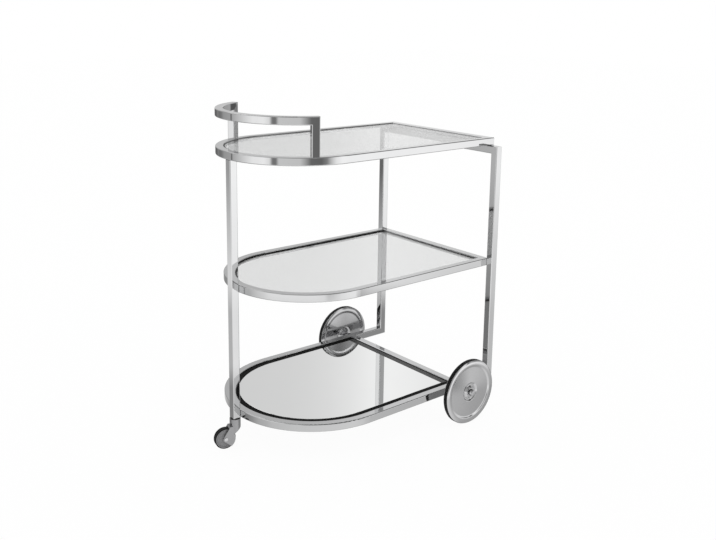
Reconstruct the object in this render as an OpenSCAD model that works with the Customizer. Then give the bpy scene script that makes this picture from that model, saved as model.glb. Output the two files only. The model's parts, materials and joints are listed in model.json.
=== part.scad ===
// Three-tier bar cart on two large side wheels and one swivel caster.
// Millimetres, +Z up. The round end with the handle and the caster points to -X,
// the square end to +X. Left is +Y and right is -Y, seen from the handle.
// The origin is on the floor, under the middle of the cart's outer box.

/* [Square tube] */
// Side of the square tube
tube = 20; // [16:1:22]
// Wall of the square tube
tube_wall = 1.2; // [1:0.1:2]
// Outer corner radius of the square tube
tube_corner = 2; // [1:0.1:3]

/* [Top shelf] */
// Width of the top shelf over its rims
top_width = 406; // [360:1:430]
// Length of the top shelf, round end to square end
top_length = 709; // [620:1:800]
// Height of the top shelf's rim above the floor
top_height = 756; // [700:1:850]
// Thickness of the top glass
top_glass_t = 10; // [6:1:12]
// Depth of the top glass below the rim
top_recess = 2; // [1:0.5:4]

/* [Middle shelf] */
// Height of the middle shelf's rim above the floor
middle_height = 426; // [360:1:520]
// Reach of the middle shelf between the rear legs
middle_tuck = 8; // [4:1:20]
// Thickness of the middle glass
middle_glass_t = 8; // [6:1:10]
// Depth of the middle glass below the rim
middle_recess = 4; // [1:0.5:6]

/* [Bottom shelf] */
// Thickness of the mirror
mirror_t = 6; // [4:1:8]
// Depth of the mirror below the rim
mirror_recess = 3; // [2.5:0.5:5]
// Width of the black border round the mirror
border_w = 14; // [10:1:30]

/* [Glass seats] */
// Width of the flat ledge inside each rim
ledge_w = 8; // [5:1:14]
// Thickness of the ledge
ledge_t = 2; // [1.5:0.5:3]
// Thickness of the rubber lining round each pane
seal_t = 2; // [1:0.5:3]
// Clearance between a pane and its lining
glass_fit = 0.2; // [0.1:0.1:1]

/* [Legs] */
// Width of the frame over the rear legs
frame_width = 472; // [440:1:520]
// Reach of the top shelf behind the rear legs
rear_overhang = 5; // [0:1:20]

/* [Handle] */
// Height of the handle's top above the top shelf's rim
handle_rise = 94; // [60:1:160]
// Angle from the cart's centre line to each end of the handle
handle_sweep = 69.5; // [50:0.5:80]

/* [Wheels] */
// Diameter of the large wheels
wheel_d = 176; // [170:1:200]
// Width of the large wheels
wheel_w = 14; // [10:1:18]
// Distance from the bottom rim to the large wheels
wheel_gap = 28; // [18:1:36]
// Distance from the rear legs' rear faces to the axles
axle_setback = 131; // [110:1:160]
// Thickness of the rubber tyre
tyre_t = 3.5; // [2:0.5:6]
// Thickness of the wheels' pressed plates
plate_t = 1.5; // [1:0.1:2.5]
// Height of the tyre over the wheel's lips
tyre_stand = 0.8; // [0.5:0.1:1.5]
// Width of the raised ring round each wheel face
ring_w = 13; // [8:0.5:18]
// Width of the slope from the raised ring down to the web
slope_w = 5; // [3:0.5:8]
// Fall of the web from the dimple to the slope
web_fall = 2; // [0.5:0.5:3]
// Diameter of the dimple in each wheel face
dimple_d = 52; // [44:1:64]
// Depth of the dimple round the hub
dimple_depth = 3.5; // [2:0.5:4]
// Diameter of the hub that stands out of each wheel face
hub_d = 28; // [25:1:34]
// Height of the hub over the wheel face
hub_rise = 1; // [0.5:0.5:3]
// Diameter of the axles
axle_d = 12; // [8:1:14]
// Radial clearance of every turning fit
run_fit = 0.05; // [0.02:0.01:0.1]

/* [Caster] */
// Diameter of the caster wheel
caster_d = 54; // [48:1:56]
// Width of the caster wheel
caster_w = 15; // [12:1:16]
// Distance from the swivel axis to the caster's axle
caster_trail = 28; // [22:1:32]
// Angle of the caster from straight forward
caster_turn = 13; // [0:1:30]
// Thickness of the caster's rubber tyre
caster_tyre_t = 2.5; // [2.5:0.5:6]
// Diameter of the caster's round hood
hood_d = 28; // [28:1:34]
// Thickness of the caster's two cheeks
cheek_t = 3; // [2:0.5:3.5]
// Diameter of the swivel stem
stem_d = 10; // [8:1:12]
// Length of the stem inside the leg
stem_reach = 30; // [20:1:40]
// Diameter of the caster's axle
caster_axle_d = 6; // [5:0.5:8]

/* [Hidden] */
$fn = 96;

// Gap between turned parts of one assembly that are pressed together
press_gap = 0.02;
// Gap between a tyre and its wheel
seat_gap = 0.3;
// Gap between faces that slide past each other
face_gap = 0.3;
// Overshoot of a cutting solid past the face it cuts
cut = 1;

half_tube = tube / 2;
top_half = top_width / 2;
frame_half = frame_width / 2;
middle_half = frame_half - tube;

// Stations along X, counted from the centre of the top shelf's round end
top_rear = top_length - top_half;
legs_rear = top_rear - rear_overhang;
legs_front = legs_rear - tube;
front_leg_x = half_tube - top_half;
front_leg_inner = tube - top_half;
middle_centre = front_leg_inner + middle_half;
middle_rear = legs_front + middle_tuck;
bottom_centre = front_leg_inner + frame_half;
axle_x = legs_rear - axle_setback;
bar_rear = axle_x + half_tube;
seal_half = frame_half - tube - border_w - face_gap;

// Heights
axle_z = wheel_d / 2;
bottom_height = axle_z + half_tube;
leg_foot = axle_z - half_tube;
leg_head = top_height - tube;

// Handle
handle_r = top_half - half_tube;
post_angle = handle_sweep - asin(half_tube / handle_r);
handle_height = top_height + handle_rise;
handle_axis_z = handle_height - half_tube;

// Wheels, outward from the bottom rim's outer face
flange_t = 3;
flange_d = 24;
washer_t = 1.5;
washer_d = 26;
spacer_d = 18;
hub_half = wheel_w / 2 + hub_rise;
wheel_mid = frame_half + wheel_gap + wheel_w / 2;
inner_washer_y = wheel_mid - hub_half - face_gap - washer_t;
outer_washer_y = wheel_mid + hub_half + face_gap;
nut_y = outer_washer_y + washer_t;
nut_t = 5;
nut_d = 19;
dome_r = 7.5;
bush_wall = 4;
bush_d = axle_d + 2 * bush_wall;
tyre_seat_r = wheel_d / 2 - tyre_t;
lip_r = wheel_d / 2 - tyre_stand;
tyre_w = wheel_w - 2 * plate_t - 2 * seat_gap;
edge_break = plate_t / 2;

// Caster
caster_r = caster_d / 2;
caster_half_w = caster_w / 2;
caster_seat_r = caster_r - caster_tyre_t;
caster_round = 2;
ring_t = 2;
ring_d = hood_d - 4;
hood_top = leg_foot - face_gap - ring_t;
hood_mouth = caster_d + 1.5;
cheek_gap = 0.8;
cheek_in = caster_half_w + cheek_gap;
cheek_out = cheek_in + cheek_t;
cheek_end_r = 7;
cheek_back_r = caster_r - 2;
hood_skirt = caster_r + 11;
caster_head_d = 9;
caster_head_t = 1.2;
caster_bush_wall = 2;
plug_fit = 0.1;
plug_side = tube - 2 * tube_wall - 2 * plug_fit;
plug_length = stem_reach + 6;

// Middle of the outer box along X, from the caster tyre's rounded edge to the top shelf
caster_reach = caster_trail * cos(caster_turn) + (caster_r - caster_round) * cos(caster_turn)
    + (caster_half_w - caster_round) * sin(caster_turn) + caster_round;
mid_x = (front_leg_x - caster_reach + top_rear) / 2;

module in_frame() translate([-mid_x, 0, 0]) children();

// Sections and shared forms

module rounded_square(side, r) {
    square([side, side - 2 * r], center = true);
    square([side - 2 * r, side], center = true);
    for (x = [-1, 1], y = [-1, 1])
        translate([x * (side / 2 - r), y * (side / 2 - r)])
            circle(r);
}

module tube_section() {
    difference() {
        rounded_square(tube, tube_corner);
        square(tube - 2 * tube_wall, center = true);
    }
}

module tube_along_x(length) rotate([90, 0, 90]) linear_extrude(length) tube_section();

module tube_along_y(length)
    translate([0, length / 2, 0])
        rotate([90, 0, 0])
            linear_extrude(length) tube_section();

// Tube bent round a half circle at the -X end, its two arms running to x = rear
module u_tube(half, centre, rear, height) {
    arm_y = half - half_tube;
    translate([centre, 0, height - half_tube]) {
        rotate([0, 0, 90]) rotate_extrude(angle = 180) translate([arm_y, 0]) tube_section();
        for (side = [-1, 1])
            translate([0, side * arm_y, 0]) tube_along_x(rear - centre);
    }
}

// Outline of a pane or ring, inset from the outer line of a U-shaped rim and of its rear bar
module shelf_outline(half, centre, rear, inset, rear_inset) {
    r = half - inset;
    translate([centre, 0]) circle(r);
    translate([centre, -r]) square([rear - rear_inset - centre, 2 * r]);
}

module pane(half, centre, rear, inset, rear_inset, top, t)
    translate([0, 0, top - t])
        linear_extrude(t)
            shelf_outline(half, centre, rear, inset, rear_inset);

// Flat band inside a rim and along its rear bar
module ring(half, centre, rear, width, top, t)
    translate([0, 0, top - t])
        linear_extrude(t)
            difference() {
                shelf_outline(half, centre, rear, tube, tube);
                shelf_outline(half, centre, rear, tube + width, tube + width);
            }

// Band inside a rim, open towards the rear bar
module open_ring(half, centre, rear, width, top, t)
    translate([0, 0, top - t])
        linear_extrude(t)
            difference() {
                shelf_outline(half, centre, rear, tube, tube);
                shelf_outline(half, centre, rear, tube + width, tube - cut);
            }

// Corner wedges for the flat mitre between a shelf's side rails and its rear bar
module rear_mitre(half, rear, height)
    translate([0, 0, height - tube - cut])
        linear_extrude(tube + 2 * cut)
            polygon([
                [rear + cut, half + cut], [rear + cut, -half - cut],
                [rear - tube, tube - half], [rear - tube, half - tube]
            ]);

module shelf_rim(half, centre, rear, height)
    difference() {
        u_tube(half, centre, rear, height);
        rear_mitre(half, rear, height);
    }

module shelf_rear_bar(half, rear, height)
    intersection() {
        translate([rear - half_tube, 0, height - half_tube]) tube_along_y(2 * half);
        rear_mitre(half, rear, height);
    }

module shelf_ledge(half, centre, rear, height, depth)
    ring(half, centre, rear, ledge_w, height - depth, ledge_t);

module shelf_seal(half, centre, rear, height, depth)
    open_ring(half, centre, rear, seal_t, height - tube_corner, depth - tube_corner);

module shelf_pane(half, centre, rear, height, recess, t)
    pane(half, centre, rear, tube + seal_t + glass_fit, tube + face_gap, height - recess, t);

// Top shelf

module top_rim() color("silver") in_frame()
    shelf_rim(top_half, 0, top_rear, top_height);

module top_rear_bar() color("silver") in_frame()
    shelf_rear_bar(top_half, top_rear, top_height);

module top_ledge() color("silver") in_frame()
    shelf_ledge(top_half, 0, top_rear, top_height, top_recess + top_glass_t);

module top_glass() color("lightcyan", 0.4) in_frame()
    shelf_pane(top_half, 0, top_rear, top_height, top_recess, top_glass_t);

module top_seal() color("dimgray") in_frame()
    shelf_seal(top_half, 0, top_rear, top_height, top_recess + top_glass_t);

// Middle shelf

module middle_rim() color("silver") in_frame()
    shelf_rim(middle_half, middle_centre, middle_rear, middle_height);

module middle_rear_bar() color("silver") in_frame()
    shelf_rear_bar(middle_half, middle_rear, middle_height);

module middle_ledge() color("silver") in_frame()
    shelf_ledge(middle_half, middle_centre, middle_rear, middle_height,
        middle_recess + middle_glass_t);

module middle_glass() color("lightcyan", 0.4) in_frame()
    shelf_pane(middle_half, middle_centre, middle_rear, middle_height,
        middle_recess, middle_glass_t);

module middle_seal() color("black") in_frame()
    shelf_seal(middle_half, middle_centre, middle_rear, middle_height,
        middle_recess + middle_glass_t);

// Bottom shelf: a hairpin whose arms run on to the rear legs

module leg_mitre()
    translate([legs_rear, 0, leg_foot])
        rotate([90, 0, 0])
            linear_extrude(frame_width + 2 * cut, center = true)
                polygon([[cut, -cut], [cut, tube + cut], [-tube - cut, tube + cut]]);

module bottom_rim() color("silver") in_frame()
    difference() {
        u_tube(frame_half, bottom_centre, legs_rear, bottom_height);
        leg_mitre();
    }

module bottom_rear_bar() color("silver") in_frame()
    translate([axle_x, 0, axle_z]) tube_along_y(frame_width - 2 * tube);

module bottom_ledge() color("silver") in_frame()
    ring(frame_half, bottom_centre, bar_rear, border_w + ledge_w,
        bottom_height - mirror_recess - mirror_t, ledge_t);

module bottom_mirror() color("gainsboro") in_frame()
    pane(frame_half, bottom_centre, bar_rear, tube + border_w + glass_fit,
        tube + seal_t + glass_fit, bottom_height - mirror_recess, mirror_t);

// Rubber strip between the mirror and the rear bar, from one side of the border to the other
module bottom_seal() color("black") in_frame()
    translate([bar_rear - tube - seal_t, -seal_half, bottom_height - mirror_recess - mirror_t])
        cube([seal_t, 2 * seal_half, mirror_t]);

module bottom_border() color("black") in_frame()
    open_ring(frame_half, bottom_centre, bar_rear, border_w,
        bottom_height - mirror_recess, mirror_t);

// Legs

module front_leg() color("silver") in_frame()
    translate([front_leg_x, 0, leg_foot]) linear_extrude(leg_head - leg_foot) tube_section();

module head_mitre(side)
    translate([legs_front - cut, side * frame_half, leg_head])
        rotate([90, 0, 90])
            linear_extrude(tube + 2 * cut)
                polygon([
                    [side * cut, cut], [-side * (tube + cut), cut],
                    [-side * (tube + cut), -tube - cut]
                ]);

module rear_leg(side) color("silver") in_frame()
    difference() {
        translate([legs_front + half_tube, side * (frame_half - half_tube), leg_foot])
            linear_extrude(leg_head - leg_foot)
                tube_section();
        translate([legs_rear, side * frame_half, leg_foot])
            rotate([90, 0, 0])
                linear_extrude(4 * tube, center = true)
                    polygon([[cut, -cut], [-tube - cut, -cut], [-tube - cut, tube + cut]]);
        head_mitre(side);
    }

module left_rear_leg() rear_leg(1);
module right_rear_leg() rear_leg(-1);

module rear_crossbar() color("silver") in_frame()
    intersection() {
        translate([legs_front + half_tube, 0, leg_head - half_tube]) tube_along_y(frame_width);
        translate([legs_front - cut, 0, leg_head])
            rotate([90, 0, 90])
                linear_extrude(tube + 2 * cut)
                    polygon([
                        [-frame_half - cut, cut], [frame_half + cut, cut],
                        [frame_half - tube - cut, -tube - cut],
                        [tube - frame_half + cut, -tube - cut]
                    ]);
    }

// Handle: an arc over the round end, mitred onto a post at each end

module at_post(side) rotate([0, 0, 180 - side * post_angle]) translate([handle_r, 0, 0]) children();

// Half space above or below the mitre of a handle end, seen at the post
module handle_mitre(side, above)
    translate([0, 0, handle_axis_z])
        rotate([-side * 45, 0, 0])
            translate([-2 * tube, -4 * tube, above ? 0 : -8 * tube])
                cube([4 * tube, 8 * tube, 8 * tube]);

module handle_rail() color("silver") in_frame()
    difference() {
        translate([0, 0, handle_axis_z])
            rotate([0, 0, 180 - handle_sweep - 1])
                rotate_extrude(angle = 2 * handle_sweep + 2)
                    translate([handle_r, 0])
                        tube_section();
        for (side = [-1, 1]) at_post(side) handle_mitre(side, false);
    }

module handle_post(side) color("silver") in_frame()
    at_post(side)
        difference() {
            translate([0, 0, top_height])
                linear_extrude(handle_rise)
                    tube_section();
            handle_mitre(side, true);
        }

module left_handle_post() handle_post(1);
module right_handle_post() handle_post(-1);

// Axles and wheels, with local +Z pointing out of the cart

module at_axle(side, y)
    in_frame()
        translate([axle_x, side * y, axle_z])
            rotate([-90 * side, 0, 0])
                children();

module axle(side) color("gainsboro") at_axle(side, frame_half) {
    cylinder(h = flange_t, d = flange_d);
    cylinder(h = nut_y + nut_t - frame_half, d = axle_d);
}

module sleeve(h, outer, inner)
    difference() {
        cylinder(h = h, d = outer);
        translate([0, 0, -cut]) cylinder(h = h + 2 * cut, d = inner);
    }

module spacer(side) color("gainsboro") at_axle(side, frame_half + flange_t)
    sleeve(inner_washer_y - frame_half - flange_t, spacer_d, axle_d + 2 * press_gap);

module inner_washer(side) color("gainsboro") at_axle(side, inner_washer_y)
    sleeve(washer_t, washer_d, axle_d + 2 * press_gap);

module outer_washer(side) color("gainsboro") at_axle(side, outer_washer_y)
    sleeve(washer_t, washer_d, axle_d + 2 * press_gap);

module cap_nut(side) color("gainsboro") at_axle(side, nut_y)
    difference() {
        union() {
            cylinder(h = nut_t, d = nut_d, $fn = 6);
            translate([0, 0, nut_t]) cylinder(h = 1, r = dome_r);
            translate([0, 0, nut_t + 1])
                rotate_extrude()
                    intersection() {
                        circle(dome_r);
                        square([dome_r, dome_r / 2]);
                    }
        }
        translate([0, 0, -cut]) cylinder(h = nut_t + cut, d = axle_d + 2 * press_gap);
    }

// One face of a wheel from the hub out: hub, dimple, web, slope and raised ring
function wheel_face(half, edge) = [
    [hub_d / 2 - hub_rise, half + hub_rise], [hub_d / 2, half],
    [hub_d / 2 + dimple_depth, half - dimple_depth],
    [dimple_d / 2 - dimple_depth, half - dimple_depth],
    [dimple_d / 2, half],
    [lip_r - ring_w - slope_w, half - web_fall],
    [lip_r - ring_w, half], [edge, half]
];

function flipped(points) = [for (i = [len(points) - 1 : -1 : 0]) [points[i][0], -points[i][1]]];

module wheel_disc(side) color("silver") at_axle(side, wheel_mid) {
    half = wheel_w / 2;
    inner = half - plate_t;
    bore = bush_d / 2 + press_gap;
    face = concat(
        wheel_face(half, lip_r - edge_break),
        [[lip_r, half - edge_break], [lip_r, inner], [tyre_seat_r, inner]]
    );
    hollow = wheel_face(inner, tyre_seat_r - plate_t);
    rotate_extrude()
        difference() {
            polygon(concat([[bore, half + hub_rise]], face, flipped(face), [[bore, -half - hub_rise]]));
            polygon(concat(
                [[bore - cut, inner + hub_rise]], hollow,
                flipped(hollow), [[bore - cut, -inner - hub_rise]]
            ));
        }
}

// Band with rounded shoulders that sits on a wheel
module tyre_band(outer_r, inner_r, width, round)
    rotate_extrude()
        intersection() {
            translate([inner_r, -width / 2]) square([outer_r - inner_r, width]);
            union() {
                translate([0, -width / 2]) square([outer_r - round, width]);
                translate([0, round - width / 2]) square([outer_r, width - 2 * round]);
                for (s = [-1, 1])
                    translate([outer_r - round, s * (width / 2 - round)]) circle(round);
            }
        }

module tyre(side) color([0.08, 0.08, 0.08]) at_axle(side, wheel_mid)
    tyre_band(wheel_d / 2, tyre_seat_r + seat_gap, tyre_w, tyre_stand);

module hub_bush(side) color([0.1, 0.1, 0.1]) at_axle(side, wheel_mid)
    translate([0, 0, -hub_half])
        sleeve(2 * hub_half, bush_d, axle_d + 2 * run_fit);

module left_axle() axle(1);
module right_axle() axle(-1);
module left_spacer() spacer(1);
module right_spacer() spacer(-1);
module left_inner_washer() inner_washer(1);
module right_inner_washer() inner_washer(-1);
module left_outer_washer() outer_washer(1);
module right_outer_washer() outer_washer(-1);
module left_cap_nut() cap_nut(1);
module right_cap_nut() cap_nut(-1);
module left_wheel_disc() wheel_disc(1);
module right_wheel_disc() wheel_disc(-1);
module left_tyre() tyre(1);
module right_tyre() tyre(-1);
module left_hub_bush() hub_bush(1);
module right_hub_bush() hub_bush(-1);

// Caster, with local +X along its trail and local Y along its axle

module at_caster()
    in_frame()
        translate([front_leg_x, 0, 0])
            rotate([0, 0, 180 - caster_turn])
                children();

module at_caster_axle() at_caster() translate([caster_trail, 0, caster_r]) rotate([90, 0, 0]) children();

module caster_plug() color([0.1, 0.1, 0.1]) in_frame()
    translate([front_leg_x, 0, leg_foot])
        difference() {
            linear_extrude(plug_length) square(plug_side, center = true);
            translate([0, 0, -cut]) cylinder(h = stem_reach + 2 * cut, d = stem_d + 2 * run_fit);
        }

module caster_ring() color([0.05, 0.05, 0.05]) at_caster()
    translate([0, 0, hood_top]) sleeve(ring_t, ring_d, stem_d + 2 * press_gap);

module caster_stem() color("gainsboro") at_caster()
    translate([0, 0, hood_top]) cylinder(h = leg_foot + stem_reach - hood_top, d = stem_d);

// Side view of the hood: the round head, then the cheeks round the back of the wheel to the axle
function arc(cx, cz, r, a0, a1, steps) =
    [for (i = [0 : steps]) let (a = a0 + (a1 - a0) * i / steps) [cx + r * cos(a), cz + r * sin(a)]];

module hood_outline()
    polygon(concat(
        [[-hood_d / 2 - cut, hood_top], [-hood_d / 2 - cut, hood_mouth]],
        arc(caster_trail, caster_r, cheek_back_r, 152, 236, 12),
        arc(caster_trail, caster_r, cheek_end_r, 300, 395, 12),
        [[hood_d / 2 + cut, hood_mouth + 4], [hood_d / 2 + cut, hood_top]]
    ));

module caster_hood() color("silver") at_caster()
    difference() {
        intersection() {
            union() {
                translate([0, 0, hood_skirt]) cylinder(h = hood_top - hood_skirt, d = hood_d);
                translate([0, -cheek_out, 0])
                    cube([caster_trail + 2 * cheek_end_r, 2 * cheek_out, hood_mouth + 2]);
            }
            rotate([90, 0, 0]) linear_extrude(2 * hood_d, center = true) hood_outline();
        }
        translate([caster_trail, 0, caster_r])
            rotate([90, 0, 0])
                cylinder(h = 2 * cheek_in, r = caster_r + 1.5, center = true);
        translate([caster_trail, -cheek_in, 0]) cube([2 * caster_r, 2 * cheek_in, caster_r]);
        translate([caster_trail, 0, caster_r])
            rotate([90, 0, 0])
                cylinder(h = hood_d, d = caster_axle_d + 2 * press_gap, center = true);
    }

module caster_axle() color("gainsboro") at_caster_axle() {
    cylinder(h = 2 * cheek_out, d = caster_axle_d, center = true);
    for (s = [-1, 1])
        translate([0, 0, s * (cheek_out + caster_head_t / 2)])
            cylinder(h = caster_head_t, d = caster_head_d, center = true);
}

module caster_wheel_disc() color("gray") at_caster_axle() {
    bore = caster_axle_d / 2 + caster_bush_wall + press_gap;
    hub = bore + 3;
    rotate_extrude()
        polygon([
            [bore, caster_half_w], [hub, caster_half_w], [hub + 1.5, caster_half_w - 3],
            [caster_seat_r - 4, caster_half_w - 3], [caster_seat_r - 2, caster_half_w - 0.6],
            [caster_seat_r, caster_half_w - 0.6], [caster_seat_r, 0.6 - caster_half_w],
            [caster_seat_r - 2, 0.6 - caster_half_w], [caster_seat_r - 4, 3 - caster_half_w],
            [hub + 1.5, 3 - caster_half_w], [hub, -caster_half_w], [bore, -caster_half_w]
        ]);
}

module caster_tyre() color([0.08, 0.08, 0.08]) at_caster_axle()
    tyre_band(caster_r, caster_seat_r + seat_gap, caster_w, caster_round);

module caster_hub_bush() color([0.1, 0.1, 0.1]) at_caster_axle()
    translate([0, 0, -caster_half_w])
        sleeve(caster_w, caster_axle_d + 2 * caster_bush_wall, caster_axle_d + 2 * run_fit);

top_rim();
top_rear_bar();
top_ledge();
top_glass();
top_seal();
middle_rim();
middle_rear_bar();
middle_ledge();
middle_glass();
middle_seal();
bottom_rim();
bottom_rear_bar();
bottom_ledge();
bottom_mirror();
bottom_seal();
bottom_border();
front_leg();
left_rear_leg();
right_rear_leg();
rear_crossbar();
handle_rail();
left_handle_post();
right_handle_post();
left_axle();
right_axle();
left_spacer();
right_spacer();
left_inner_washer();
right_inner_washer();
left_outer_washer();
right_outer_washer();
left_cap_nut();
right_cap_nut();
left_wheel_disc();
right_wheel_disc();
left_tyre();
right_tyre();
left_hub_bush();
right_hub_bush();
caster_plug();
caster_ring();
caster_stem();
caster_hood();
caster_axle();
caster_wheel_disc();
caster_tyre();
caster_hub_bush();
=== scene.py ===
import bpy
import bmesh
import json
import math
from mathutils import Matrix, Vector


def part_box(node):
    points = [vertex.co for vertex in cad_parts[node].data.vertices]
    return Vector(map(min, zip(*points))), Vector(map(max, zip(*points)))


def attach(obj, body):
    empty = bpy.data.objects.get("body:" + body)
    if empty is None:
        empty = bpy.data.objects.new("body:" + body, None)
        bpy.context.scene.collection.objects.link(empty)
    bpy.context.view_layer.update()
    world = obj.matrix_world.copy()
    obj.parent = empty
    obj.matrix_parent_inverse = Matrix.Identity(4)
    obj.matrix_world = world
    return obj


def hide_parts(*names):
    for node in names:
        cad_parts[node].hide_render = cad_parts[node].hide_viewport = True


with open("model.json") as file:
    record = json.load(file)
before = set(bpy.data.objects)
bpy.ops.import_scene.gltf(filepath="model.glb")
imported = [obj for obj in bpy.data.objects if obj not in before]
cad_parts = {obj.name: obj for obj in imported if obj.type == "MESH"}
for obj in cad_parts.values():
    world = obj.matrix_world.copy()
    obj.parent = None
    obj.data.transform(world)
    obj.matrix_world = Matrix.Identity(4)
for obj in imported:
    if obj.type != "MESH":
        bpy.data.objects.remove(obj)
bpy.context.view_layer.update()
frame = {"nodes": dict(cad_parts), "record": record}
scene = bpy.context.scene
print("frame loaded:", len(frame["nodes"]), "pieces")

cameraLook = {
    "yaw": -39.82,          # degrees round the cart, 0 is square on to the right-hand side
    "pitch": 11.65,         # degrees above level
    "roll": 0.80,           # degrees
    "distance": 2.40318,    # metres from the target
    "target": (0.07137, 0.0, 0.61464),
    "picture": (716.0, 540.0),
    "focal": 897.65,        # in pixels of the picture
    "axisRow": 190.0,       # row of the picture that the lens points at
    "sensor": 36.0,         # mm
    "reach": 100.0,         # metres that the camera sees
}


def placeCamera(look):
    yaw, pitch, roll = (math.radians(look[k]) for k in ("yaw", "pitch", "roll"))
    back = Vector((math.sin(yaw) * math.cos(pitch), -math.cos(yaw) * math.cos(pitch), math.sin(pitch)))
    level = Vector((math.cos(yaw), math.sin(yaw), 0.0))
    over = back.cross(level)
    right = level * math.cos(roll) + over * math.sin(roll)
    up = over * math.cos(roll) - level * math.sin(roll)
    turn = Matrix((right, up, back)).transposed().to_4x4()
    place = Vector(look["target"]) + back * look["distance"]
    width, height = look["picture"]
    lens = bpy.data.cameras.new("camera")
    lens.sensor_fit = "HORIZONTAL"
    lens.sensor_width = look["sensor"]
    lens.lens = look["focal"] / width * look["sensor"]
    lens.shift_y = (look["axisRow"] - height / 2) / width
    lens.clip_end = look["reach"]
    camera = bpy.data.objects.new("camera", lens)
    scene.collection.objects.link(camera)
    camera.matrix_world = Matrix.Translation(place) @ turn
    scene.camera = camera


placeCamera(cameraLook)
print("camera placed")


class Val:
    def __init__(self, tree, out=None):
        self.tree = tree
        self.out = out

    def make(self, kind, settings=None, stops=(), **inputs):
        node = self.tree.nodes.new(kind)
        for key, value in (settings or {}).items():
            setattr(node, key, value)
        if stops:
            self.fillRamp(node.color_ramp, stops)
        for key, value in inputs.items():   # a socket's name with _ for a space, or i and its place
            byPlace = key[0] == "i" and key[1:].isdigit()
            socket = node.inputs[int(key[1:]) if byPlace else key.replace("_", " ")]
            if isinstance(value, Val):
                self.tree.links.new(value.out, socket)
            elif socket.type == "RGBA":
                socket.default_value = (*value, 1.0)
            else:
                socket.default_value = value
        return Val(self.tree, node.outputs[0] if node.outputs else None)

    def fillRamp(self, ramp, stops):
        while len(ramp.elements) < len(stops):
            ramp.elements.new(1.0)
        for element, (place, level) in zip(ramp.elements, stops):
            element.position = place
            element.color = (level, level, level, 1.0)

    def port(self, name):
        return Val(self.tree, self.out.node.outputs[name])

    def maths(self, how, other, flip=False):
        first, second = (other, self) if flip else (self, other)
        return self.make("ShaderNodeMath", {"operation": how}, i0=first, i1=second)

    def __add__(self, other):
        return self.maths("ADD", other)

    def __radd__(self, other):
        return self.maths("ADD", other, flip=True)

    def __sub__(self, other):
        return self.maths("SUBTRACT", other)

    def __rsub__(self, other):
        return self.maths("SUBTRACT", other, flip=True)

    def __mul__(self, other):
        return self.maths("MULTIPLY", other)

    def __rmul__(self, other):
        return self.maths("MULTIPLY", other, flip=True)

    def __truediv__(self, other):
        return self.maths("DIVIDE", other)

    def __rtruediv__(self, other):
        return self.maths("DIVIDE", other, flip=True)


def emptyTree(owner):
    owner.use_nodes = True
    owner.node_tree.nodes.clear()
    return Val(owner.node_tree)


def mixed(kit, factor, first, second):
    # A Mix node takes its colours at places 6 and 7, and gives their blend at 2.
    blend = kit.make("ShaderNodeMix", {"data_type": "RGBA"}, i0=factor, i6=first, i7=second)
    return Val(kit.tree, blend.out.node.outputs[2])


def either(kit, factor, first, second):
    return kit.make("ShaderNodeMixShader", i0=factor, i1=first, i2=second)


def ranged(kit, value, low, high):
    return kit.make("ShaderNodeMapRange", Value=value, To_Min=low, To_Max=high)


# Cloud and grain count marks to the metre, and the depth of the grain is in metres.
def cloudedFinish(name, base, second, rough, cloud, detail, grain, bump, depth, **shader):
    material = bpy.data.materials.new(name)
    kit = emptyTree(material)
    here = kit.make("ShaderNodeTexCoord").port("Object")
    clouds = kit.make("ShaderNodeTexNoise", Vector=here, Scale=cloud, Detail=detail, Roughness=0.6)
    grains = kit.make("ShaderNodeTexNoise", Vector=here, Scale=grain, Detail=2.0, Roughness=0.5)
    colour = mixed(kit, clouds, base, second)
    shape = kit.make("ShaderNodeBump", Strength=bump, Distance=depth, Height=grains)
    skin = kit.make("ShaderNodeBsdfPrincipled", Base_Color=colour, Roughness=ranged(kit, clouds, *rough),
                    Normal=shape, **shader)
    kit.make("ShaderNodeOutputMaterial", Surface=skin)
    return material


def metalFinish(name, plate, tarnish, rough, grain=900.0, bump=0.02):
    return cloudedFinish(name, plate, tarnish, rough, cloud=14.0, detail=4.0, grain=grain, bump=bump,
                         depth=0.0002, Metallic=1.0)


def plainFinish(name, base, second, rough, cloud=60.0, bump=0.1, shine=0.5):
    return cloudedFinish(name, base, second, rough, cloud=cloud, detail=5.0, grain=14.0 * cloud, bump=bump,
                         depth=0.0003, Specular_IOR_Level=shine)


def glassFinish(name, tint, rough):
    material = bpy.data.materials.new(name)
    kit = emptyTree(material)
    here = kit.make("ShaderNodeTexCoord").port("Object")
    smear = kit.make("ShaderNodeTexNoise", Vector=here, Scale=5.0, Detail=3.0, Roughness=0.5)
    skin = kit.make("ShaderNodeBsdfPrincipled", Base_Color=tint, Roughness=ranged(kit, smear, *rough),
                    IOR=1.5, Transmission_Weight=1.0)
    clear = kit.make("ShaderNodeBsdfTransparent", Color=tint)
    isShadow = kit.make("ShaderNodeLightPath").port("Is Shadow Ray")
    kit.make("ShaderNodeOutputMaterial", Surface=either(kit, isShadow, skin, clear))
    return material


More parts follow.
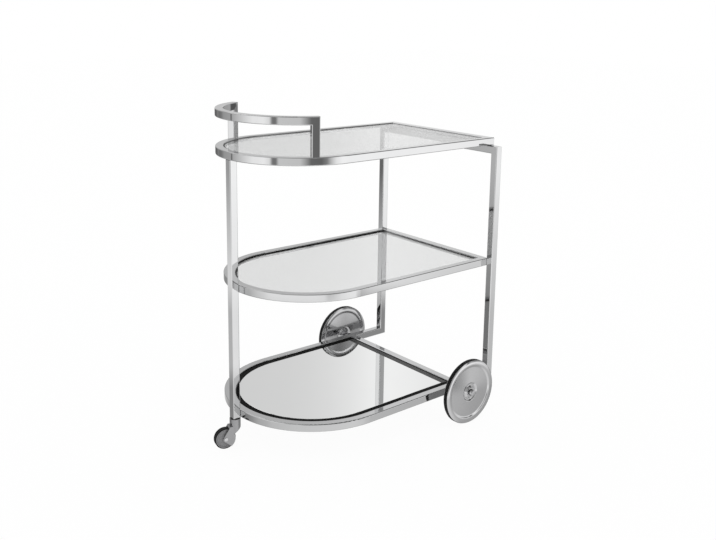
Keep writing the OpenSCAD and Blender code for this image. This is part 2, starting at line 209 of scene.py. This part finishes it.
# Metals and plastics: colour, the colour it clouds to, least and most roughness. Glass: tint, roughness.
finishes = {
    "chrome_tube": metalFinish("chromeTube", (0.57, 0.572, 0.575), (0.54, 0.542, 0.545), (0.02, 0.05)),
    "chrome_hardware": metalFinish("chromeHardware", (0.58, 0.58, 0.585), (0.52, 0.52, 0.53), (0.06, 0.14)),
    "caster_metal": metalFinish("casterMetal", (0.36, 0.36, 0.365), (0.28, 0.28, 0.285), (0.10, 0.22),
                                grain=700.0, bump=0.05),
    # painted shade: a darker copy of the wheel's chrome, for the side that faces the cart
    "wheel_back_painted_shade": metalFinish("wheelBackPaintedShade", (0.45, 0.45, 0.455), (0.39, 0.39, 0.395), (0.08, 0.16),
                              grain=500.0, bump=0.05),
    "wheel_chrome": metalFinish("wheelChrome", (0.56, 0.56, 0.565), (0.50, 0.50, 0.505), (0.06, 0.12),
                                grain=500.0, bump=0.04),
    "clear_glass": glassFinish("clearGlass", (0.757, 0.762, 0.760), (0.0, 0.01)),
    "mirror": metalFinish("silveredGlass", (0.90, 0.905, 0.90), (0.88, 0.885, 0.885), (0.0, 0.01),
                          grain=200.0, bump=0.0),
    "black_gloss": plainFinish("blackBorder", (0.003, 0.003, 0.003), (0.006, 0.006, 0.006), (0.35, 0.5),
                               cloud=40.0, bump=0.01, shine=0.02),
    "black_rubber": plainFinish("blackLining", (0.008, 0.008, 0.008), (0.016, 0.016, 0.016), (0.40, 0.55),
                                cloud=80.0, bump=0.15, shine=0.2),
    "black_tyre": plainFinish("tyreRubber", (0.006, 0.006, 0.006), (0.013, 0.013, 0.013), (0.42, 0.6),
                              cloud=70.0, bump=0.2, shine=0.12),
    "black_plastic": plainFinish("blackNylon", (0.012, 0.012, 0.012), (0.022, 0.022, 0.022), (0.3, 0.45),
                                 cloud=90.0),
    "grey_plastic": plainFinish("greyNylon", (0.20, 0.20, 0.205), (0.26, 0.26, 0.265), (0.22, 0.34),
                                cloud=90.0, bump=0.08),
}
ownFinish = {"caster_hood": "caster_metal"}     # duller than the rest of its slot

slotOf = {part["node"]: part["material_slot"] for part in frame["record"]["subparts"]}
for name, piece in frame["nodes"].items():
    material = finishes[ownFinish.get(name, slotOf[name])]
    if not piece.material_slots:
        piece.data.materials.append(material)
    for place in piece.material_slots:
        place.material = material
print("finishes given to", len(slotOf), "pieces")

# Sizes of the new pieces are in millimetres. A corner is its radius, its height and its fillet.
wheelLook = {
    "bore": 10.02,          # radius
    "hubTop": 8.0,          # over the wheel's middle plane, as the corners' heights are
    "face": [(13.0, 8.0, 0.0), (14.0, 7.0, 0.6), (17.5, 3.5, 2.0), (22.5, 3.5, 2.5), (26.0, 7.0, 2.5),
             (69.2, 5.0, 7.0), (74.2, 7.0, 4.0), (86.45, 7.0, 0.0), (87.2, 6.25, 0.3), (87.2, 5.5, 0.0),
             (84.5, 5.5, 0.0)],
    "paintedShadeFrom": 1.0,        # inwards from the middle plane
    "turnSteps": 128,
}

capLook = {
    "section": [(0.0, 5.2, 0.0), (6.05, 5.2, 0.0), (6.05, 0.0, 0.0), (8.8, 0.0, 0.0), (8.8, 1.6, 0.4),
                (6.9, 1.6, 0.0), (6.9, 9.75, 1.8), (0.0, 9.75, 0.0)],       # heights over the washer
    "ring": 1.65,           # height of the black ring at the cap's foot
    "turnSteps": 64,
}

# Each pane has its polished edge, and what its sides and its rear give up to the border.
paneLook = {
    "top_glass": {"edge": 1.0, "steps": 3, "sides": 0.0, "rear": 0.0},
    "middle_glass": {"edge": 1.0, "steps": 3, "sides": 0.0, "rear": 0.0},
    "bottom_mirror": {"edge": 0.8, "steps": 2, "sides": 3.0, "rear": 17.3},
    "arcSteps": 96,
    "lift": 0.2,            # air under each pane, so that it shows its ledge
    "facesUp": 0.95,        # upright part of a face's normal from which it isn't the pane's edge
}

borderLook = {
    "width": 17.0,
    "edge": 0.5,
    "steps": 2,
    "arcSteps": 96,
    "gap": 0.2,             # between its arms and the rubber strip at the rear bar
}


def metres(size):
    return size / 1000


def filleted(corners, steps=8, share=0.45):
    points = []
    for i, (radius, height, fillet) in enumerate(corners):
        here = Vector((radius, height))
        if fillet <= 0.0 or i in (0, len(corners) - 1):
            points.append(here)
            continue
        sides = [Vector(corners[k][:2]) - here for k in (i - 1, i + 1)]
        back, on = (side.normalized() for side in sides)
        half = back.angle(on) / 2
        reach = min(fillet / math.tan(half), *(share * side.length for side in sides))
        first, last = here + back * reach, here + on * reach
        for k in range(steps + 1):
            t = k / steps
            points.append(first * (1 - t) ** 2 + here * 2 * t * (1 - t) + last * t ** 2)
    return points


def turned(points, middle, steps, closed=False, weld=1e-6):
    bm = bmesh.new()
    line = [bm.verts.new(point) for point in points]
    edges = [bm.edges.new(pair) for pair in zip(line, line[1:])]
    if closed:
        edges.append(bm.edges.new((line[-1], line[0])))
    bmesh.ops.spin(bm, geom=line + edges, cent=middle, axis=(0.0, 1.0, 0.0), angle=2 * math.pi,
                   steps=steps, use_merge=True)
    bmesh.ops.remove_doubles(bm, verts=bm.verts, dist=weld)
    return bm


def newPiece(name, bm, node, smooth, second):
    bmesh.ops.recalc_face_normals(bm, faces=bm.faces)
    mesh = bpy.data.meshes.new(name)
    bm.to_mesh(mesh)
    bm.free()
    for face in mesh.polygons:
        face.use_smooth = smooth
    piece = bpy.data.objects.new(name, mesh)
    scene.collection.objects.link(piece)
    for finish in (slotOf[node], second):
        mesh.materials.append(finishes[finish])
    body = next(b for b, parts in frame["record"]["behaviour"]["bodies"].items() if node in parts)
    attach(piece, body)
    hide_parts(node)


def makeWheel(node, look):
    low, high = (Vector(c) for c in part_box(node))
    middle = (low + high) / 2
    section = [Vector((look["bore"], look["hubTop"]))] + filleted(look["face"])
    section += [Vector((p.x, -p.y)) for p in reversed(section)]
    points = [(middle.x + metres(p.x), middle.y + metres(p.y), middle.z) for p in section]
    bm = turned(points, middle, look["turnSteps"], closed=True)
    shadeLine = abs(middle.y) - metres(look["paintedShadeFrom"])
    for part in bm.faces:   # the side that faces the cart takes a darker copy of the plating: painted shade
        part.material_index = int(abs(part.calc_center_median().y) < shadeLine)
    newPiece(node + "_pressed", bm, node, True, "wheel_back_painted_shade")


def makeCap(node, look):
    low, high = (Vector(c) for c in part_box(node))
    middle = (low + high) / 2
    side = math.copysign(1.0, middle.y)
    base = side * min(abs(low.y), abs(high.y))
    section = filleted(look["section"])
    points = [(middle.x + metres(p.x), base + side * metres(p.y), middle.z) for p in section]
    bm = turned(points, middle, look["turnSteps"])
    for part in bm.faces:
        height = side * (part.calc_center_median().y - base)
        part.material_index = int(height < metres(look["ring"]))
    newPiece(node + "_round", bm, node, True, "black_plastic")


def halfRound(bm, centre, radius, z, steps):
    angles = [math.pi * k / steps for k in range(steps + 1)]
    return [bm.verts.new((centre - radius * math.sin(a), radius * math.cos(a), z)) for a in angles]


# An edge between a top or bottom face and a face at more than a sharp angle, in radians, is bevelled.
def thicken(bm, faces, height, edge, steps, sharp=1.0, facesUp=0.9):
    lifted = bmesh.ops.extrude_face_region(bm, geom=faces)
    moved = [v for v in lifted["geom"] if isinstance(v, bmesh.types.BMVert)]
    bmesh.ops.translate(bm, verts=moved, vec=(0.0, 0.0, height))
    bmesh.ops.recalc_face_normals(bm, faces=bm.faces)
    rims = {e for e in bm.edges if len(e.link_faces) == 2 and e.calc_face_angle() > sharp
            and any(abs(f.normal.z) > facesUp for f in e.link_faces)}
    bmesh.ops.bevel(bm, geom=list(rims), offset=metres(edge), segments=steps, profile=0.5,
                    affect="EDGES", material=-1)


def makePane(node, look):
    low, high = (Vector(c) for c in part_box(node))
    low.z += metres(look["lift"])
    own = look[node]
    half = (high.y - low.y) / 2
    side = half - metres(own["sides"])
    rear = high.x - metres(own["rear"])
    bm = bmesh.new()
    outline = halfRound(bm, low.x + half, side, low.z, look["arcSteps"])
    outline += [bm.verts.new((rear, y, low.z)) for y in (-side, side)]
    face = bm.faces.new(outline)
    face.normal_update()
    thicken(bm, [face], high.z - low.z, own["edge"], own["steps"])
    isClear = slotOf[node] == "clear_glass"
    for part in bm.faces:   # the edge faces of a clear pane take the lining's black, a painted reflection of the black lining behind it
        part.normal_update()
        part.material_index = int(isClear and abs(part.normal.z) < look["facesUp"])
    newPiece(node + "_polished", bm, node, False, "black_rubber")


def makeBorder(node, look):
    low, high = (Vector(c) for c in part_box(node))
    half = (high.y - low.y) / 2
    width = metres(look["width"])
    inner = half - width
    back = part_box("bottom_mirror")[1][0]
    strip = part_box("bottom_seal")[1][1] + metres(look["gap"])
    bm = bmesh.new()
    outside, inside = (halfRound(bm, low.x + half, r, low.z, look["arcSteps"]) for r in (half, inner))
    for k in range(look["arcSteps"]):
        bm.faces.new((outside[k], outside[k + 1], inside[k + 1], inside[k]))
    # The arms run on to the rear bar, and the stretch between them ends at the rubber strip.
    arm = ((high.x, half), (high.x, strip), (back, strip), (back - width, inner))
    left, right = ([bm.verts.new((x, side * y, low.z)) for x, y in arm] for side in (1, -1))
    bm.faces.new((outside[0], inside[0], *reversed(left)))
    bm.faces.new((inside[-1], outside[-1], *right))
    bm.faces.new((left[3], right[3], right[2], left[2]))
    bmesh.ops.recalc_face_normals(bm, faces=bm.faces)
    thicken(bm, bm.faces[:], high.z - low.z, look["edge"], look["steps"])
    for part in bm.faces:   # the rear stretch takes a shinier black that really reflects the rear bar's wall, and a lighter one, a painted reflection of that wall
        middle = part.calc_center_median()
        part.material_index = int(middle.x > back - width and abs(middle.y) < inner)
    newPiece(node + "_painted", bm, node, False, "black_plastic")


for node in ("left_wheel_disc", "right_wheel_disc"):
    makeWheel(node, wheelLook)
for node in ("left_cap_nut", "right_cap_nut"):
    makeCap(node, capLook)
print("wheels pressed, caps turned")
for node in ("top_glass", "middle_glass", "bottom_mirror"):
    makePane(node, paneLook)
makeBorder("bottom_border", borderLook)
print("panes polished, border laid")

studio = {
    "floorSize": 30.0,      # metres
    "floorGrey": 0.94,
    "keep": 0.95,           # part of the floor's white that shadows can't take away
    "level": 1.0,           # even light on matt surfaces
    "peak": 2.0,            # brightness of a ring where its ramp is white
    # What polished metal sees of the room: degrees round from +X, and brightness there.
    "lowRing": [(-180, 0.85), (-150, 0.95), (-100, 1.02), (-75, 1.05), (-60, 0.98), (-50, 0.82),
                (-40, 0.62), (0, 0.5), (60, 0.60), (75, 0.68), (90, 0.55), (100, 0.42), (120, 0.36),
                (140, 0.34), (150, 0.48), (160, 0.68), (172, 0.75), (180, 0.85)],
    "stepRing": [(-180, 1.10), (-110, 1.20), (-75, 1.30), (-58, 1.35), (-55, 0.55), (-52, 0.42),
                 (-47, 0.42), (-44, 0.95), (-38, 0.75), (0, 0.55), (60, 0.55), (75, 0.52), (90, 0.48),
                 (100, 0.55), (114, 0.80), (136.5, 0.60), (137.3, 0.24), (139.3, 0.24), (140.1, 0.58),
                 (150, 0.64), (160, 0.85), (172, 0.98), (180, 1.10)],
    "midRing": [(-180, 1.35), (-172, 1.45), (-115, 1.42), (-104, 1.25), (-98, 0.65), (-91, 0.80),
                (-80, 1.25), (-70, 1.42), (-53.4, 1.40), (-52.6, 0.74), (-50.4, 0.84), (-49.4, 1.34),
                (-44, 1.10), (-38, 0.85), (0, 0.6), (60, 0.50), (75, 0.36), (87, 0.34), (96, 0.60),
                (106, 0.80), (114, 1.15), (124, 1.10), (136.5, 0.78), (137.3, 0.42), (139.3, 0.42),
                (140.1, 0.75), (148, 0.76), (160, 0.98), (172, 1.18), (180, 1.35)],
    "highRing": [(-180, 1.40), (-172, 1.42), (-164, 1.20), (-160, 0.30), (-155, 0.28), (-151, 0.95),
                 (-122, 0.92), (-115, 0.60), (-107, 0.22), (-92, 0.20), (-84, 0.36), (-78, 0.85),
                 (-70, 1.35), (-60, 1.55), (-45, 1.50), (-14, 0.90), (-10, 0.14), (4, 0.14), (8, 0.60),
                 (60, 0.30), (72, 0.14), (82, 0.16), (90, 0.30), (98, 0.24), (105, 0.30), (113, 0.50),
                 (129.5, 0.58), (130.3, 0.22), (132.4, 0.22), (133.2, 0.62), (150, 0.95), (171, 1.38)],
    "wallRing": [(-180, 0.9), (-120, 0.5), (-72, 0.5), (-62, 1.35), (-56, 1.35), (-53.5, 0.24),
                 (-49.5, 0.24), (-48.9, 0.74), (-46, 0.74), (-43, 0.35), (0, 0.6), (35, 0.84), (44, 0.86),
                 (46.5, 0.93), (48.5, 0.97), (50, 0.86), (52, 0.77), (54, 0.71), (58, 0.68), (66, 0.68),
                 (90, 0.6), (120, 0.5), (129.8, 0.45), (130.5, 1.4), (132.1, 1.4), (132.8, 0.35),
                 (140.5, 0.3), (142, 0.8), (150, 0.8), (180, 0.9)],
    "ceilingRing": [(-180, 0.50), (-60, 0.30), (-38, 0.08), (22, 0.10), (32, 0.70), (42, 0.80), (90, 1.30),
                    (125, 1.40), (140, 0.70), (180, 0.50)],
    # The rings over the lowest one, and the sines of the heights between which each takes over.
    "takesOver": {
        "stepRing": (-0.405, -0.385),
        "midRing": (-0.33, -0.30),
        "highRing": (-0.29, -0.18),
        "wallRing": (-0.10, 0.06),
        "ceilingRing": (0.46, 0.56),
    },
}
white = (1.0, 1.0, 1.0)


def seenAndShiny(kit, downward):
    path = kit.make("ShaderNodeLightPath")
    through = path.port("Is Transmission Ray")
    # Light that leaves metal and then passes a pane on its way down is still a reflection.
    bounced = path.port("Glossy Depth").maths("GREATER_THAN", 0.5)
    passed = through * bounced * downward
    isSeen = path.port("Is Camera Ray").maths("MAXIMUM", through - passed)
    isShiny = path.port("Is Glossy Ray").maths("MAXIMUM", passed)
    return isSeen, isShiny


def makeFloor(look):
    mesh = bpy.data.meshes.new("floor")
    bm = bmesh.new()
    bmesh.ops.create_grid(bm, x_segments=1, y_segments=1, size=look["floorSize"] / 2)
    bm.to_mesh(mesh)
    bm.free()
    floor = bpy.data.objects.new("floor", mesh)
    scene.collection.objects.link(floor)
    material = bpy.data.materials.new("paleFloor")
    kit = emptyTree(material)
    matt = kit.make("ShaderNodeBsdfDiffuse", Color=[look["floorGrey"]] * 3)
    glow = kit.make("ShaderNodeEmission", Color=white, Strength=1.0)
    isSeen, isShiny = seenAndShiny(kit, 1.0)    # what meets the floor is on its way down
    pale = either(kit, isSeen * look["keep"], matt, glow)
    gone = kit.make("ShaderNodeBsdfTransparent")
    kit.make("ShaderNodeOutputMaterial", Surface=either(kit, isShiny, pale, gone))
    mesh.materials.append(material)


def makeWorld(look):
    world = bpy.data.worlds.new("studio")
    scene.world = world
    kit = emptyTree(world)
    direction = kit.make("ShaderNodeTexCoord").port("Generated")
    parts = kit.make("ShaderNodeSeparateXYZ", Vector=direction)
    x, y, z = (parts.port(k) for k in "XYZ")
    around = y.maths("ARCTAN2", x) / (2 * math.pi) + 0.5

    def ringLight(name):
        stops = [((angle + 180.0) / 360.0, level / look["peak"]) for angle, level in look[name]]
        return kit.make("ShaderNodeValToRGB", stops=stops, Fac=around)

    room = ringLight("lowRing")
    for name, (start, end) in look["takesOver"].items():
        rise = kit.make("ShaderNodeMapRange", Value=z, From_Min=start, From_Max=end)
        room = mixed(kit, rise, room, ringLight(name))
    shiny = kit.make("ShaderNodeBackground", Color=room, Strength=look["peak"])
    even = kit.make("ShaderNodeBackground", Color=white, Strength=look["level"])
    backdrop = kit.make("ShaderNodeBackground", Color=white, Strength=1.0)
    isSeen, isShiny = seenAndShiny(kit, z.maths("LESS_THAN", 0.0))
    lit = either(kit, isShiny, even, shiny)
    kit.make("ShaderNodeOutputWorld", Surface=either(kit, isSeen, lit, backdrop))


makeFloor(studio)
makeWorld(studio)
scene.view_settings.view_transform = "Standard"
print("studio set")
